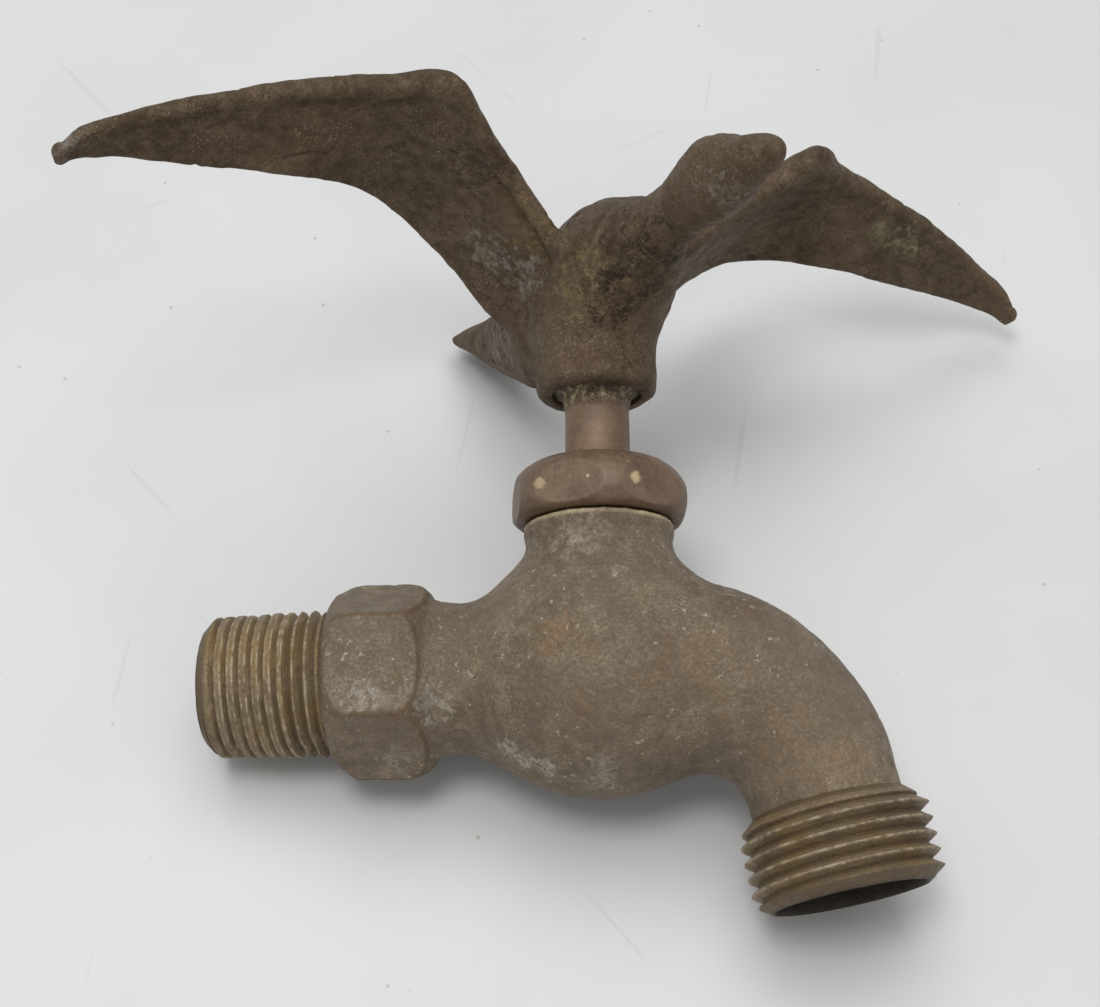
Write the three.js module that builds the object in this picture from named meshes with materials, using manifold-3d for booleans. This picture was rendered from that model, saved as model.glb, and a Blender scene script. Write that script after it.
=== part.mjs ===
// A brass hose bib (garden tap) with a cast flying-bird handle.
// Millimetres. +X runs along the inlet pipe towards the spout, +Z runs up the stem, and the origin is the
// centre of the inlet's end face.
import * as THREE from 'three';
import { LoftGeometry } from 'three/addons/geometries/LoftGeometry.js';
import { mergeVertices } from 'three/addons/utils/BufferGeometryUtils.js';
import Module from 'manifold-3d';

const wasm = await Module();
wasm.setup();

// Driving dimensions.
const GAP = 0.3;                      // clearance between two pieces that touch
const INCH = 25.4;
const STEM_X = 57.3;                  // stem axis, from the inlet's end face

const inlet = { crest: 10.2, taper: 1 / 32, pitch: INCH / 14, threadEnd: 18.4, bore: 7.2 };    // half-inch pipe thread
const outlet = { crest: 13.49, root: 12.0, pitch: INCH / 11.5, threadEnd: 13.2, bore: 10.4 };  // garden-hose thread
const spout = { mouthX: 91.2, mouthZ: -32.7, tilt: THREE.MathUtils.degToRad(10.7), bore: 7.8 };
const hex = { corner: 14.45, start: 18.6, end: 33.6 };
const globe = { x: 57.5, z: -0.8, rx: 18.5, ry: 16.5, rz: 17.0 };

const neck = { waist: 10.65, shoulder: 10.93, shoulderZ: 21.8, threadCrest: 9.3, topZ: 28.5, box: 7.2 };
const seat = { floorZ: 0.2, topZ: 1.2, bore: 5.0, rim: 6.6 };
const chamber = { radius: 10.0, topZ: 13.4, neckBore: 6.3, boxZ: 21.9 };

const stemSize = { radius: 4.75, thread: 6.0, flange: 7.3, flangeZ: 4.8, threadZ: 7.4, threadTop: 15.8 };
const square = { side: 6.6, startZ: 44.5, topZ: 53.0 };
const nut = { corner: 13.35, flat: 12.2, bottomZ: 22.1, topZ: 31.4, ceiling: 29.6, bore: 5.1 };
const hub = { radius: 9.04, bottomZ: 41.8, recess: 6.5, recessDepth: 1.7 };
const screwSize = { radius: 2.5, z: 47.4 };
const NUT_TURN = THREE.MathUtils.degToRad(14.4);     // how far the nut's corners are turned from the Y axis
const BIRD_TURN = THREE.MathUtils.degToRad(58.5);    // the beak points between the spout and one side

const COLOURS = {
  body: 0x6b6150, handle: 0x54493d, nut: 0x6f5745, stem: 0x8a6a55, washer: 0x2a2826, packing: 0x3b3a37,
};

// ---- Solids -------------------------------------------------------------------------------------------------

// A closed geometry as a solid for joining and cutting, turned right side out.
function solid(geometry) {
  const bare = new THREE.BufferGeometry().copy(geometry);
  bare.deleteAttribute('normal');
  bare.deleteAttribute('uv');
  const merged = mergeVertices(bare, 1e-4);
  const corners = merged.index.array;
  const triangles = [];
  for (let i = 0; i < corners.length; i += 3) {
    const [a, b, c] = [corners[i], corners[i + 1], corners[i + 2]];
    if (a !== b && b !== c && c !== a) triangles.push(a, b, c);
  }
  const build = (list) => new wasm.Manifold(new wasm.Mesh({
    numProp: 3,
    vertProperties: new Float32Array(merged.attributes.position.array),
    triVerts: new Uint32Array(list),
  }));
  const made = build(triangles);
  return made.volume() > 0 ? made : build(triangles.reverse());
}

function toGeometry(made) {
  const mesh = made.getMesh();
  const geometry = new THREE.BufferGeometry();
  geometry.setAttribute('position', new THREE.BufferAttribute(new Float32Array(mesh.vertProperties), 3));
  geometry.setIndex(new THREE.BufferAttribute(new Uint32Array(mesh.triVerts), 1));
  geometry.computeVertexNormals();
  return geometry;
}

const join = (...solids) => solids.reduce((all, one) => all.add(one));

// A profile of [radius, height] points turned about +Z, closed on the axis or on itself.
function turned(profile, segments = 40) {
  const points = profile.map(([radius, height]) => new THREE.Vector2(radius, height));
  return new THREE.LatheGeometry(points, segments).rotateX(Math.PI / 2);
}

// The same profile turned about +X.
const turnedX = (profile, segments) => turned(profile, segments).rotateY(Math.PI / 2);

// A ring of rectangular section about +Z.
function ring(inner, outer, bottom, top, segments) {
  return turned([[inner, bottom], [outer, bottom], [outer, top], [inner, top], [inner, bottom]], segments);
}

const disc = (radius, bottom, top, segments) =>
  turned([[0, bottom], [radius, bottom], [radius, top], [0, top]], segments);

function circlePoints(sides, place) {
  const points = [];
  for (let i = 0; i < sides; i++) {
    const angle = (2 * Math.PI * i) / sides;
    points.push(place(Math.cos(angle), Math.sin(angle)));
  }
  return points;
}

const middleOf = (points) => points
  .reduce((sum, point) => sum.add(point), new THREE.Vector3()).divideScalar(points.length);

// A closed skin over rings of points, each ring wound so that the skin faces out.
function loft(sections) {
  const [first, next] = sections;
  const centre = middleOf(first);
  const winding = new THREE.Vector3();
  first.forEach((point, i) => {
    const after = first[(i + 1) % first.length];
    winding.add(point.clone().sub(centre).cross(after.clone().sub(centre)));
  });
  const facesOut = winding.dot(middleOf(next).sub(centre)) > 0;
  const rings = facesOut ? sections : sections.map((section) => section.toReversed());
  return new LoftGeometry(rings, { capStart: true, capEnd: true });
}

// A round pipe along a flat route in the XZ plane, given as [x, z, radius] stations.
function pipe(stations, steps, sides = 32) {
  const route = new THREE.CatmullRomCurve3(stations.map(([x, z]) => new THREE.Vector3(x, 0, z)));
  const radii = new THREE.SplineCurve(stations.map(([, , radius], i) => new THREE.Vector2(i, radius)));
  const sections = [];
  for (let i = 0; i <= steps; i++) {
    const centre = route.getPoint(i / steps);
    const across = route.getTangent(i / steps).cross(new THREE.Vector3(0, 1, 0));
    const radius = radii.getPoint(i / steps).y;
    sections.push(circlePoints(sides, (cos, sin) => new THREE.Vector3(0, radius * sin, 0)
      .addScaledVector(across, radius * cos).add(centre)));
  }
  return loft(sections);
}

// Crest and root points of an outside thread, as [radius, height] pairs that climb from `from` to `to`.
function threadProfile(crest, root, pitch, from, to, taper = 0) {
  const points = [];
  for (let height = from; height + pitch <= to + 1e-6; height += pitch) {
    points.push([root + taper * height, height], [crest + taper * (height + pitch / 2), height + pitch / 2]);
  }
  points.push([root + taper * to, to]);
  return points;
}

// ---- Valve body ---------------------------------------------------------------------------------------------

function inletOutside() {
  const root = inlet.crest - 1.15;
  const thread = threadProfile(inlet.crest, root, inlet.pitch, 1.0, inlet.threadEnd, inlet.taper);
  const barrel = [
    [12.6, 24], [12.9, 31], [11.9, 33.4], [11.15, 35.6], [10.9, 38.2], [11.9, 41], [13.4, 44.5], [14.8, 48],
  ];
  return turnedX([[0, 0], [root - 0.5, 0], ...thread, ...barrel, [0, 56]], 36);
}

function hexWrenchPad() {
  const length = hex.end - hex.start;
  const prism = new THREE.CylinderGeometry(hex.corner, hex.corner, length, 6)
    .rotateY(Math.PI / 6).rotateZ(Math.PI / 2).rotateX(Math.PI / 6).translate(hex.start + length / 2, 0, 0);
  const rounding = turnedX([
    [0, hex.start], [11.6, hex.start], [12.9, hex.start + 1.2], [hex.corner + 0.1, hex.start + 3.6],
    [hex.corner + 0.1, hex.end - 4.2], [13.7, hex.end - 1.9], [12.2, hex.end - 0.4], [0, hex.end],
  ]);
  return solid(prism).intersect(solid(rounding));
}

function globeOutside() {
  return new THREE.SphereGeometry(1, 32, 22).scale(globe.rx, globe.ry, globe.rz).translate(globe.x, 0, globe.z);
}

function neckOutside() {
  const flare = [[13.3, 9.0], [13.6, 11.6], [13.0, 13.6], [12.0, 15.2], [11.1, 17.0], [neck.waist, 19.0]];
  const shoulder = [
    [neck.shoulder, neck.shoulderZ - 0.9], [neck.shoulder - 0.25, neck.shoulderZ - 0.3], [10, neck.shoulderZ],
  ];
  const thread = threadProfile(neck.threadCrest, neck.threadCrest - 0.8, 1.4, neck.shoulderZ + GAP, neck.topZ - 0.4);
  const collar = [neck.threadCrest - 0.8, neck.shoulderZ];
  const profile = [[0, 9], ...flare, ...shoulder, collar, ...thread, [0, neck.topZ]];
  return turned(profile).translate(STEM_X, 0, 0);
}

// The spout leaves the globe, bends down over a quarter turn and ends above the hose thread.
function spoutOutside() {
  return pipe([
    [58, -0.8, 14.6], [68, -0.6, 14.0], [76, -2.6, 12.9], [82.6, -7.2, 11.5], [86.5, -13.0, 10.9],
    [88.2, -18.4, 10.6], alongSpout(9.5, 10.7),
  ], 22);
}

// A point on the outlet's axis, a distance up from the mouth, with a radius.
function alongSpout(distance, radius) {
  const x = spout.mouthX - Math.sin(spout.tilt) * distance;
  return [x, spout.mouthZ + Math.cos(spout.tilt) * distance, radius];
}

function placedAtMouth(geometry) {
  return geometry.rotateY(-spout.tilt).translate(spout.mouthX, 0, spout.mouthZ);
}

function outletOutside() {
  const thread = threadProfile(outlet.crest, outlet.root, outlet.pitch, 1.5, outlet.threadEnd - 0.7);
  const runout = [[outlet.root, outlet.threadEnd + 0.2], [10.7, outlet.threadEnd + 1.2]];
  return placedAtMouth(turned([[0, 0], [outlet.root - 0.2, 0], ...thread, ...runout, [0, 16]]));
}

// The water's way in: along the barrel, then down under the seat.
function inletPassage() {
  const straight = turnedX([[0, -1], [inlet.bore, -1], [inlet.bore, 30], [0, 30]], 36);
  const dip = pipe([
    [29, 0, 7.1], [36, -0.6, 6.8], [43, -3.4, 6.0], [49, -6.6, 5.4], [55, -8.6, 5.2], [STEM_X + 4.4, -8.9, 4.8],
  ], 14, 28);
  const port = disc(seat.bore, -10, seat.topZ + 1, 32).translate(STEM_X, 0, 0);
  return join(solid(straight), solid(dip), solid(port));
}

// The chamber over the seat, the neck's threaded bore and the packing box, in one turned hollow.
function stemHollow() {
  return turned([
    [0, seat.topZ], [seat.rim, seat.topZ], [seat.rim + 0.6, seat.floorZ], [8.6, seat.floorZ],
    [chamber.radius, seat.floorZ + 1.6], [chamber.radius, 9.6], [8.2, chamber.topZ],
    [chamber.neckBore, chamber.topZ + 0.3], [chamber.neckBore, chamber.boxZ], [neck.box, chamber.boxZ],
    [neck.box, neck.topZ + 1], [0, neck.topZ + 1],
  ]).translate(STEM_X, 0, 0);
}

// The water's way out: over the seat's floor, round the spout and out through the mouth.
function outletPassage() {
  const bend = pipe([
    [STEM_X + 3, 5.6, 5.4], [67, 4.4, 6.6], [75, 0.6, 7.4], [81.6, -5.0, spout.bore], [86.0, -11.8, spout.bore],
    [87.9, -18.4, spout.bore], alongSpout(9, 8.2),
  ], 20, 28);
  const mouth = placedAtMouth(turned([
    [0, -1], [outlet.bore + 0.5, -1], [outlet.bore, 0.6], [outlet.bore - 0.4, 5.5], [8.2, 10.5], [0, 10.5],
  ], 40));
  return join(solid(bend), solid(mouth));
}

function valveBody() {
  const outside = join(
    solid(inletOutside()), hexWrenchPad(), solid(globeOutside()), solid(neckOutside()),
    solid(spoutOutside()), solid(outletOutside()),
  );
  const waterway = join(inletPassage(), solid(stemHollow()), outletPassage());
  return toGeometry(outside.subtract(waterway));
}

// ---- Stem and what seals it ---------------------------------------------------------------------------------

function stem() {
  const s = stemSize;
  const coarseThread = threadProfile(s.thread, s.thread - 0.9, 2.5, s.threadZ, s.threadTop);
  const shaft = turned([
    [0, s.flangeZ], [s.flange, s.flangeZ], [s.flange, s.threadZ - 0.4], [s.thread - 0.9, s.threadZ],
    ...coarseThread, [s.radius, s.threadTop + 0.8], [s.radius, square.startZ], [0, square.startZ],
  ], 40);
  const top = new THREE.BoxGeometry(square.side, square.side, square.topZ - square.startZ + 1)
    .translate(0, 0, (square.topZ + square.startZ - 1) / 2).rotateZ(-BIRD_TURN);
  const screwHole = disc(1.9, s.flangeZ - 1, s.flangeZ + 8, 20);
  return toGeometry(join(solid(shaft), solid(top)).subtract(solid(screwHole)));
}

const seatWasher = () => ring(2.4, 6.7, seat.topZ + GAP, stemSize.flangeZ - GAP, 40);

// A round-headed screw that holds the washer to the stem's end; its head hangs down inside the seat's port.
function washerScrew() {
  const headZ = seat.topZ + GAP - 0.1;
  const screw = turned([
    [0, headZ - 1.8], [2.2, headZ - 1.7], [3.4, headZ - 0.9], [3.7, headZ - 0.2], [3.6, headZ - 0.1],
    [1.6, headZ - 0.1], [1.6, stemSize.flangeZ + 7], [0, stemSize.flangeZ + 7],
  ], 24);
  const slot = new THREE.BoxGeometry(9, 0.9, 1.0).translate(0, 0, headZ - 1.6);
  return toGeometry(solid(screw).subtract(solid(slot)));
}

const packingRing = () => ring(stemSize.radius + 0.05, neck.box - GAP, chamber.boxZ + GAP, 27.2, 40);

const packingGland = () => ring(stemSize.radius + 0.15, neck.box - GAP, 27.5, 29.3, 40);

// The packing nut: six flats ground on a bulging dome, threaded inside over the neck, with a hole for the stem.
function packingNut() {
  const barrel = [[11.6, 22.1], [12.4, 22.7], [13.1, 23.9], [nut.corner, 25.2], [13.2, 26.6], [12.7, 27.9]];
  const dome = [[11.9, 29.1], [10.8, 30.1], [9.4, 30.8], [7.5, 31.2], [nut.bore, nut.topZ]];
  const outside = turned([[0, nut.bottomZ], ...barrel, ...dome, [0, nut.topZ]], 60);
  const corner = nut.flat / Math.cos(Math.PI / 6);
  const prism = new THREE.CylinderGeometry(corner, corner, 14, 6)
    .rotateX(Math.PI / 2).rotateZ(NUT_TURN).translate(0, 0, (nut.bottomZ + nut.topZ) / 2);
  const inside = turned([
    [0, nut.bottomZ - 1], [neck.threadCrest + GAP, nut.bottomZ - 1], [neck.threadCrest + GAP, nut.ceiling],
    [nut.bore, nut.ceiling], [nut.bore, nut.topZ + 1], [0, nut.topZ + 1],
  ], 48);
  return toGeometry(solid(outside).intersect(solid(prism)).subtract(solid(inside)));
}

// ---- Bird handle --------------------------------------------------------------------------------------------
// Its own axes: x forward to the beak, y to the bird's left, z up the stem.

// [forward, height of centre, half width, half height] from tail to beak.
const BIRD_RINGS = [
  [-45.0, 66.2, 5.0, 1.0], [-41, 65.4, 5.5, 1.9], [-30, 61.6, 5.8, 5.2], [-20, 59.2, 7.2, 8.6],
  [-10, 58.0, 8.6, 11.4], [0, 58.2, 9.5, 12.6], [8, 58.9, 9.0, 11.5], [15, 59.9, 7.0, 8.0],
  [21, 60.4, 4.8, 5.1], [26, 60.6, 4.0, 4.2], [31, 60.6, 4.3, 4.6], [37, 60.8, 4.6, 4.9],
  [42, 60.3, 4.2, 4.3], [46, 59.7, 3.1, 2.9], [52, 59.0, 2.8, 2.3], [56, 58.7, 1.6, 1.2],
];

// [span, leading edge forward, leading edge height, trailing edge forward, trailing edge height] from root to tip.
const WING_STATIONS = [
  [5, 7.5, 59.0, -9.5, 51.5], [12, 8.8, 66.0, -12.0, 58.0], [19, 10.8, 72.6, -13.2, 66.0],
  [26, 14.8, 78.2, -13.0, 71.6], [31, 16.4, 81.2, -11.2, 73.3], [37, 11.8, 82.8, -8.0, 73.3],
  [46, 8.5, 81.3, -4.8, 71.5], [58, 5.0, 78.3, -5.5, 71.0], [70, 0.4, 75.0, -7.2, 70.8],
  [78.5, -2.8, 71.8, -7.0, 69.0], [81.8, -4.2, 69.2, -6.0, 67.4],
];

function birdTrunk() {
  const centre = new THREE.CatmullRomCurve3(BIRD_RINGS.map(([x, z]) => new THREE.Vector3(x, 0, z)));
  const size = new THREE.CatmullRomCurve3(BIRD_RINGS.map(([, , w, h], i) => new THREE.Vector3(i, w, h)));
  const sections = [];
  const steps = 40;
  for (let i = 0; i <= steps; i++) {
    const middle = centre.getPoint(i / steps);
    const half = size.getPoint(i / steps);
    sections.push(circlePoints(24, (cos, sin) =>
      new THREE.Vector3(middle.x, half.y * sin, middle.z + half.z * cos)));
  }
  return loft(sections);
}

// One wing: flat oval sections between the two edges, thicker at the root. side is +1 for left, -1 for right.
function wing(side) {
  const edge = (x, z) => new THREE.CatmullRomCurve3(
    WING_STATIONS.map((station) => new THREE.Vector3(station[x], side * station[0], station[z])));
  const leading = edge(1, 2);
  const trailing = edge(3, 4);
  const sections = [];
  const steps = 24;
  for (let i = 0; i <= steps; i++) {
    const front = leading.getPoint(i / steps);
    const back = trailing.getPoint(i / steps);
    const middle = front.clone().add(back).multiplyScalar(0.5);
    const chord = front.clone().sub(back).multiplyScalar(0.5);
    const thick = THREE.MathUtils.lerp(2.3, 1.35, i / steps);
    const across = new THREE.Vector3(-chord.z, 0, chord.x).normalize().multiplyScalar(thick);
    sections.push(circlePoints(16, (cos, sin) => new THREE.Vector3()
      .addScaledVector(chord, Math.sign(cos) * Math.abs(cos) ** 0.7)
      .addScaledVector(across, Math.sign(sin) * Math.abs(sin) ** 0.7).add(middle)));
  }
  return loft(sections);
}

function birdHandle() {
  const hubOutside = turned([
    [0, hub.bottomZ], [hub.radius - 0.6, hub.bottomZ], [hub.radius, hub.bottomZ + 0.7], [hub.radius, 55], [0, 55],
  ]);
  const recess = disc(hub.recess, hub.bottomZ - 1, hub.bottomZ + hub.recessDepth, 40);
  const shankHole = disc(stemSize.radius + GAP, hub.bottomZ, square.startZ + GAP, 40);
  const side = square.side + 2 * GAP;
  const socket = new THREE.BoxGeometry(side, side, square.topZ - hub.bottomZ + GAP - 1)
    .translate(0, 0, (square.topZ + GAP + hub.bottomZ + 1) / 2);
  const screwHole = disc(screwSize.radius + GAP, 0, 30, 24).rotateY(-Math.PI / 2).translate(0, 0, screwSize.z);
  const outside = join(solid(birdTrunk()), solid(wing(1)), solid(wing(-1)), solid(hubOutside));
  const hollow = join(solid(recess), solid(shankHole), solid(socket), solid(screwHole));
  return toGeometry(outside.subtract(hollow));
}

// A slotted grub screw through the back of the hub, tight against the stem's square.
function handleSetScrew() {
  const inner = square.side / 2 + GAP;
  const outer = hub.radius - 0.5;
  const shank = disc(screwSize.radius, inner, outer, 24);
  const slot = new THREE.BoxGeometry(0.9, 6, 1.6).translate(0, 0, outer);
  return toGeometry(solid(shank).subtract(solid(slot))).rotateY(-Math.PI / 2).translate(0, 0, screwSize.z);
}

// ---- Assembly -----------------------------------------------------------------------------------------------

function piece(name, geometry, color, roughness = 0.6, metalness = 0.8) {
  const mesh = new THREE.Mesh(geometry, new THREE.MeshStandardMaterial({ color, roughness, metalness }));
  mesh.name = name;
  return mesh;
}

const bird = new THREE.Group();
bird.rotation.z = -BIRD_TURN;
bird.add(
  piece('bird_handle', birdHandle(), COLOURS.handle, 0.65),
  piece('handle_set_screw', handleSetScrew(), COLOURS.stem, 0.5),
);

const onStem = new THREE.Group();
onStem.position.x = STEM_X;
onStem.add(
  piece('stem', stem(), COLOURS.stem, 0.45),
  piece('seat_washer', seatWasher(), COLOURS.washer, 0.9, 0),
  piece('washer_screw', washerScrew(), COLOURS.stem, 0.5),
  piece('packing_ring', packingRing(), COLOURS.packing, 0.95, 0),
  piece('packing_gland', packingGland(), COLOURS.stem, 0.5),
  piece('packing_nut', packingNut(), COLOURS.nut, 0.5),
  bird,
);

const hoseBib = new THREE.Group();
hoseBib.add(piece('valve_body', valveBody(), COLOURS.body), onStem);

export default hoseBib;
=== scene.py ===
import itertools
import math

import bpy
import numpy as np
from mathutils import Matrix, Vector


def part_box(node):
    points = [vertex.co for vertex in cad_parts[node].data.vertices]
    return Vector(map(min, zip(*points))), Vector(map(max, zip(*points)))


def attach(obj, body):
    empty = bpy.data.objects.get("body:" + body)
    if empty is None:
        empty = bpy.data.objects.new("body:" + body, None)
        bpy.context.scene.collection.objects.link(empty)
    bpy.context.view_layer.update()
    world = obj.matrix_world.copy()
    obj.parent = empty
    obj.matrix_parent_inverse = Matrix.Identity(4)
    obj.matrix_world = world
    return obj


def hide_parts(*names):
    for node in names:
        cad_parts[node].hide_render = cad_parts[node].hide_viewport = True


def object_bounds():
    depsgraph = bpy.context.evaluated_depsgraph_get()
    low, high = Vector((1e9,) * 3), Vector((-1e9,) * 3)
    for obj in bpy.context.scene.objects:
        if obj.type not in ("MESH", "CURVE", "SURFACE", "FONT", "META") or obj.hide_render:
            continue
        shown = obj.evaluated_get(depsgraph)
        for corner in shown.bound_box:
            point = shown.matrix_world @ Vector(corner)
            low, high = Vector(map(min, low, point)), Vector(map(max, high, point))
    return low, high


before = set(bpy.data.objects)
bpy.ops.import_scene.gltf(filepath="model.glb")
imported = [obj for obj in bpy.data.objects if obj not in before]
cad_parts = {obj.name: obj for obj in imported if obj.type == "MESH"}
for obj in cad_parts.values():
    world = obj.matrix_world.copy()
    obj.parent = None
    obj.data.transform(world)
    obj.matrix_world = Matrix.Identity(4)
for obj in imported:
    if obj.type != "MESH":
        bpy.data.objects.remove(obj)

MM = 0.001
CELL = 0.4          # grid step of the cast pieces
cad_low, cad_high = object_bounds()

stem_low, stem_high = (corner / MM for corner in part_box("stem"))
STEM_X = (stem_low.x + stem_high.x) / 2

# Sizes of the castings, threads and screws in millimetres, and their angles.
INLET = dict(crest=10.2, taper=1 / 32, pitch=25.4 / 14, first_crest=3.0, depth=1.3, end=18.8, bore=7.2)
OUTLET = dict(crest=13.45, pitch=25.4 / 11.5, first_crest=3.95, depth=1.6, end=13.4, bore=10.4)
MOUTH = Vector((91.2, 0, -32.7))           # the middle of the spout's open end
MOUTH_TILT = math.radians(10.7)            # the spout's lean away from straight down
CASTING_CUT = dict(inlet=18.2, above_mouth=12.4)    # where the thread sleeves take over from the casting
HEX = dict(flat=12.5, start=18.6, end=33.5)
GLOBE = dict(centre=(57.5, 0, -0.8), radii=(18.5, 16.5, 17.0))
NUT = dict(corner=13.35, flat=12.2, bottom=22.1, bore=5.1, thread=9.6, turn=math.radians(14.4))
HUB = dict(radius=9.0, bottom=41.8, recess=6.5, recess_depth=1.7)
SHAFT = dict(radius=4.75, flange=7.3, bottom=4.8, start=16.4, square=3.3, square_start=44.5, top=53.0)
LIFTING_THREAD = dict(crest=6.0, depth=0.95, lead=2.5, start=7.2, end=15.8)
SET_SCREW = dict(radius=2.5, z=47.4, inner=3.6, outer=8.5)
BIRD_TURN = math.radians(58.5)             # how far the bird stands turned about the stem


# ---- Numbers: curves, noise and distance fields --------------------------------------------------------

def curve(stations, steps):
    """A smooth curve through rows of numbers (Catmull-Rom), as more rows."""
    rows = np.array(stations, float)
    rows = np.vstack([2 * rows[0] - rows[1], rows, 2 * rows[-1] - rows[-2]])
    t = np.linspace(0, 1, steps, endpoint=False)[:, None]
    pieces = []
    for a, b, c, d in zip(rows, rows[1:], rows[2:], rows[3:]):
        bend = 2 * a - 5 * b + 4 * c - d + t * (3 * (b - c) + d - a)
        pieces.append(b + 0.5 * t * (c - a + t * bend))
    return np.vstack([*pieces, rows[-2]])


def smooth_step(value, low, high):
    """0 at low and 1 at high, with a smooth rise between them (or a fall, where high is the lower)."""
    t = np.clip((value - low) / (high - low), 0, 1)
    return t * t * (3 - 2 * t)


def smooth_min(a, b, k):
    """The smaller of two distances, with the corner between them rounded over about k."""
    near = np.maximum(k - np.abs(a - b), 0) / k
    return np.minimum(a, b) - near * near * k / 4


def smooth_max(a, b, k):
    return -smooth_min(-a, -b, k)


def noise(points, size, seed):
    """Smooth noise from -1 to 1 at points (rows of x, y, z), with lumps about `size` across."""
    lattice = np.random.default_rng(seed).uniform(-1, 1, (32, 32, 32))
    scaled = points / size
    base = np.floor(scaled).astype(int)
    part = scaled - base
    part = part * part * (3 - 2 * part)
    total = np.zeros(len(points))
    for corner in itertools.product((0, 1), repeat=3):
        x, y, z = ((base + corner) & 31).T
        total += lattice[x, y, z] * np.prod(np.where(corner, part, 1 - part), axis=1)
    return total


def turned_field(profile, height, radius):
    """Distance to a solid turned about an axis, with a profile of [height, radius] rows."""
    rows = curve(profile, 50)
    side = (radius - np.interp(height, rows[:, 0], rows[:, 1])) * 0.85
    return np.maximum(side, np.maximum(rows[0, 0] - height, height - rows[-1, 0]))


def pipe_field(stations, x, y, z):
    """Distance to a round pipe along a curve in the XZ plane, given as [x, z, radius] rows."""
    rows = curve(stations, 9)
    nearest, radius, least = 0, 0, np.inf
    for (ax, az, ar), (bx, bz, br) in zip(rows, rows[1:]):
        along = ((x - ax) * (bx - ax) + (z - az) * (bz - az)) / ((bx - ax) ** 2 + (bz - az) ** 2)
        along = np.clip(along, 0, 1)
        flat = np.hypot(x - ax - along * (bx - ax), z - az - along * (bz - az))
        here = ar + along * (br - ar)
        closer = flat - here < least
        least = np.where(closer, flat - here, least)
        nearest = np.where(closer, flat, nearest)
        radius = np.where(closer, here, radius)
    return np.hypot(nearest, y) - radius


def ellipsoid_field(centre, radii, x, y, z):
    offset = [value - middle for value, middle in zip((x, y, z), centre)]
    near = np.sqrt(sum((o / r) ** 2 for o, r in zip(offset, radii)))
    slope = np.sqrt(sum((o / r ** 2) ** 2 for o, r in zip(offset, radii)))
    return near * (near - 1) / np.maximum(slope, 1e-3)


# ---- Meshes --------------------------------------------------------------------------------------------

def surface(field, low, high, cell):
    """Points, quads and outward normals of the surface where field(x, y, z) is zero (surface nets)."""
    axes = [np.arange(a, b + cell, cell) for a, b in zip(low, high)]
    value = np.asarray(field(*np.meshgrid(*axes, indexing="ij", sparse=True)), np.float32)
    inside = value < 0
    steps = np.eye(3, dtype=int)
    corners, cells = [], []
    for axis in range(3):
        low_side = tuple(slice(0, -1) if i == axis else slice(None) for i in range(3))
        high_side = tuple(slice(1, None) if i == axis else slice(None) for i in range(3))
        at = np.argwhere(inside[low_side] != inside[high_side])
        here, there = value[tuple(at.T)], value[tuple((at + steps[axis]).T)]
        crossing = at + steps[axis] * (here / (here - there))[:, None]
        b, c = (steps[i] for i in range(3) if i != axis)
        ring = np.stack([at - b - c, at - c, at, at - b], axis=1)
        facing = (here < 0) == (axis != 1)
        ring = np.where(facing[:, None, None], ring, ring[:, ::-1])
        cells.append(ring)
        corners.append(np.repeat(crossing[:, None], 4, axis=1))
    cells, corners = np.concatenate(cells), np.concatenate(corners)
    ids = np.ravel_multi_index(cells.reshape(-1, 3).T, value.shape)
    quads = np.unique(ids, return_inverse=True)[1]
    count = np.bincount(quads)
    points = np.stack([np.bincount(quads, corners[..., i].ravel()) / count for i in range(3)], axis=1)
    points = points * cell + np.array([a[0] for a in axes])
    for _ in range(2):
        points, normals = settled(field, points)
    return points, quads.reshape(-1, 4), normals


def settled(field, points, step=0.05):
    """Points moved onto the surface, and the surface's normals there."""
    value = field(*points.T)
    slope = np.stack([field(*(points + step * axis).T) - value for axis in np.eye(3)], axis=1) / step
    length = np.maximum(np.linalg.norm(slope, axis=1, keepdims=True), 0.2)
    move = np.clip(value[:, None] / length, -0.3, 0.3)
    return points - slope / length * move, slope / length


def ring_grid(rows, turns=160):
    """Points and quads of a closed skin: rows of (height, radius), each radius a number or one per angle."""
    angles = np.linspace(0, 2 * math.pi, turns, endpoint=False)
    points = np.empty((len(rows), turns, 3))
    for i, (height, radius) in enumerate(rows):
        points[i, :, 0] = radius * np.cos(angles)
        points[i, :, 1] = radius * np.sin(angles)
        points[i, :, 2] = height
    index = np.arange(len(rows) * turns).reshape(len(rows), turns)
    after = np.roll(index, -1, axis=0)
    quads = np.stack([index, np.roll(index, -1, axis=1), np.roll(after, -1, axis=1), after], axis=-1)
    return points.reshape(-1, 3), quads.reshape(-1, 4)


def blended(row_list):
    """Extra rows between sparse (height, radius) rows, so that no quad is long."""
    rows = []
    for (h0, r0), (h1, r1) in zip(row_list, row_list[1:]):
        count = max(1, int(math.hypot(h1 - h0, r1 - r0) / 0.5))
        for i in range(count):
            rows.append((h0 + (h1 - h0) * i / count, r0 + (r1 - r0) * i / count))
    return [*rows, row_list[-1]]


def placed(name, points, quads, material, body, nodes, wear_dirt_and_painted_light=None):
    """A smooth-shaded mesh object from points in millimetres, riding on a body in place of CAD nodes."""
    mesh = bpy.data.meshes.new(name)
    mesh.from_pydata((points * MM).tolist(), [], quads.tolist())
    mesh.shade_smooth()
    if wear_dirt_and_painted_light is not None:
        levels = mesh.attributes.new("wear_dirt_and_painted_light", "FLOAT", "POINT")
        levels.data.foreach_set("value", wear_dirt_and_painted_light.astype(np.float32))
    mesh.materials.append(material)
    made = bpy.data.objects.new(name, mesh)
    bpy.context.scene.collection.objects.link(made)
    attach(made, body)
    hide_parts(*nodes)
    return made


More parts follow.
